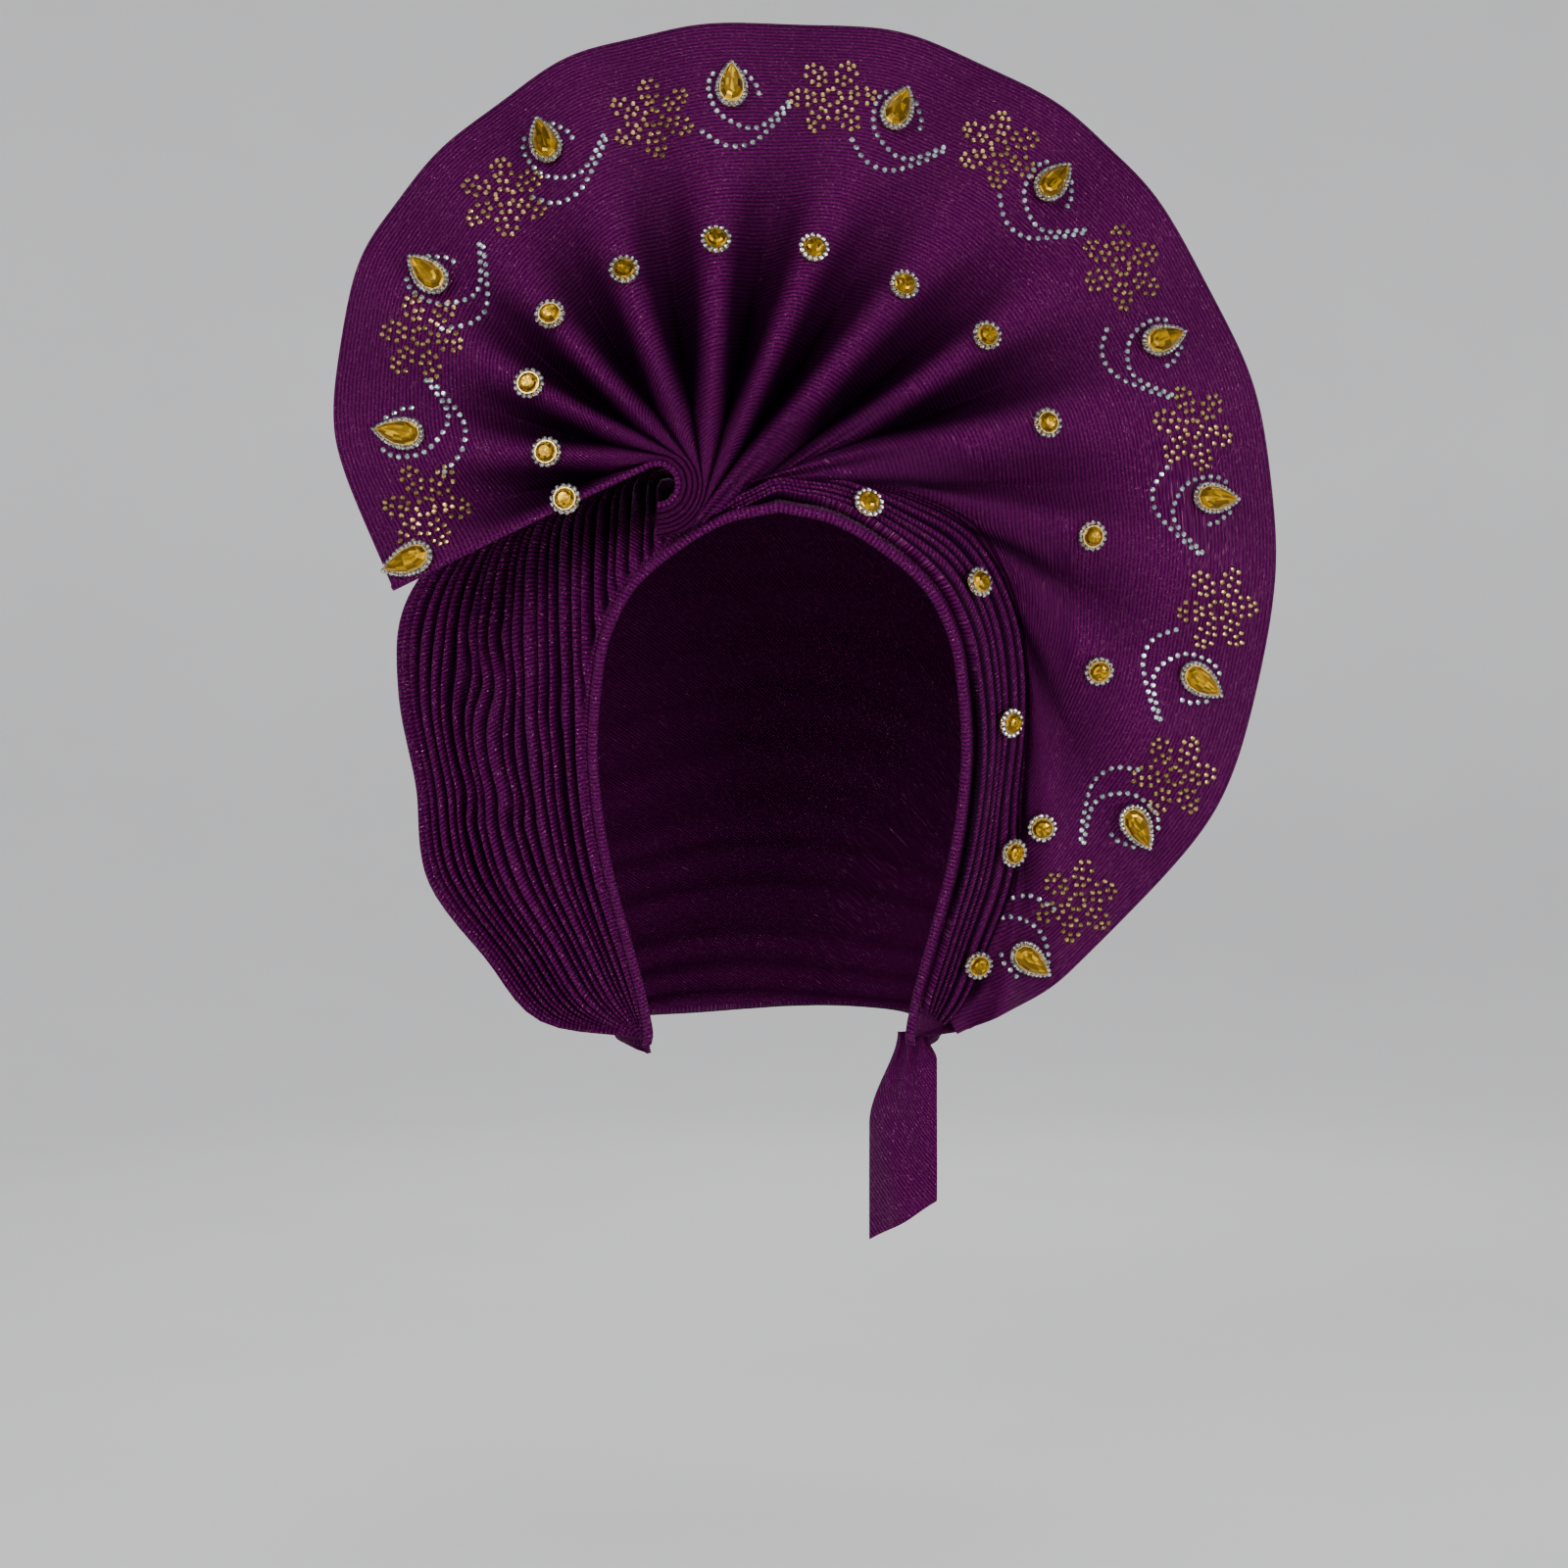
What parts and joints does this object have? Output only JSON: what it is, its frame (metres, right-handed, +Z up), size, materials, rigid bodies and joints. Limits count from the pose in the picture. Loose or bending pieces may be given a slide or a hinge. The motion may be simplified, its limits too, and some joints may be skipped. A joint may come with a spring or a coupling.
{
  "type": "tied gele head tie",
  "caption": "Head tie of stiff pleated cloth with a big round fan over the forehead, a pleated cap open at the face, a hanging end and stone brooches.",
  "frame": {"origin": "the point inside the crown of the cap where the top of the head sits", "axes": "+X to the right as seen from the front, +Y backwards from the face, +Z up"},
  "size_m": [0.3644, 0.2193, 0.4844],
  "materials": {
    "gele_cloth": "deep plum purple, finely ribbed, soft sheen with small glittering threads",
    "amber_stone": "clear faceted amber-yellow stones",
    "gold_setting": "polished gold-coloured settings",
    "clear_bead": "small clear sparkling beads round each stone",
    "gold_hotfix": "small gold flat-backed stones",
    "silver_hotfix": "small silver flat-backed stones with a faint blue shine"
  },
  "bodies": {
    "root": {"pleated_cap": "gele_cloth", "side_pleats": "gele_cloth", "face_band": "gele_cloth", "fan": "gele_cloth", "tie_tail": "gele_cloth", "teardrop_brooch_01": "amber_stone", "teardrop_brooch_02": "amber_stone", "teardrop_brooch_03": "amber_stone", "teardrop_brooch_04": "amber_stone", "teardrop_brooch_05": "amber_stone", "teardrop_brooch_06": "amber_stone", "teardrop_brooch_07": "amber_stone", "teardrop_brooch_08": "amber_stone", "teardrop_brooch_09": "amber_stone", "teardrop_brooch_10": "amber_stone", "teardrop_brooch_11": "amber_stone", "teardrop_brooch_12": "amber_stone", "round_brooch_01": "amber_stone", "round_brooch_02": "amber_stone", "round_brooch_03": "amber_stone", "round_brooch_04": "amber_stone", "round_brooch_05": "amber_stone", "round_brooch_06": "amber_stone", "round_brooch_07": "amber_stone", "round_brooch_08": "amber_stone", "round_brooch_09": "amber_stone", "round_brooch_10": "amber_stone", "round_brooch_11": "amber_stone", "round_brooch_12": "amber_stone", "round_brooch_13": "amber_stone", "round_brooch_14": "amber_stone", "round_brooch_15": "amber_stone", "round_brooch_16": "amber_stone", "round_brooch_17": "amber_stone", "round_brooch_18": "amber_stone"}
  },
  "joints": []
}
